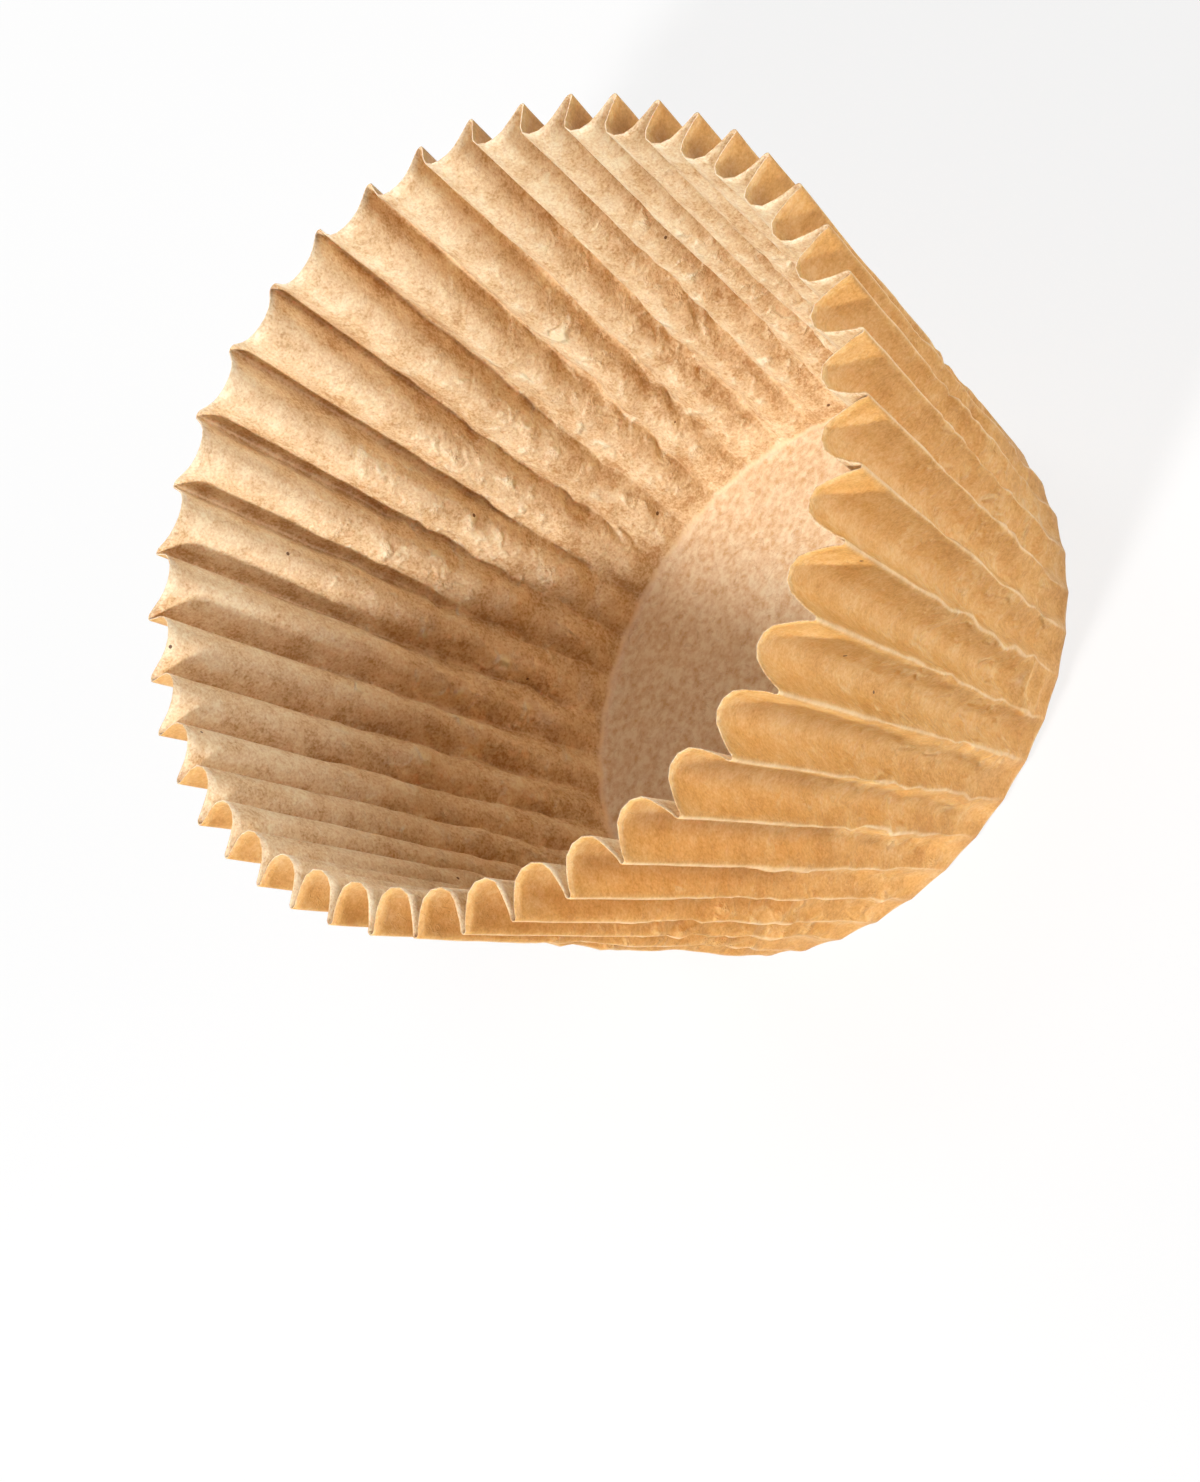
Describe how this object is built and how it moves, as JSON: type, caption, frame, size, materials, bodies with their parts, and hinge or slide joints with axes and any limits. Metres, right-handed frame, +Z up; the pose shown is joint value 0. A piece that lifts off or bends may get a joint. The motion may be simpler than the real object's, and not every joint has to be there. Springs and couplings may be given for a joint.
{
  "type": "cupcake liner",
  "caption": "Fluted paper baking cup with a flat round base and a handled, slightly oval mouth that stands open.",
  "frame": {"origin": "centre of the underside of the flat base, which the liner stands on", "axes": "+Z up out of the open mouth; +X along one outward fold; -Y the side that is looked over into the cup"},
  "size_m": [0.0661, 0.0723, 0.0404],
  "materials": {
    "kraft_paper": "unbleached greaseproof paper, satin, slightly see-through"
  },
  "bodies": {
    "root": {"liner": "kraft_paper"}
  },
  "joints": []
}
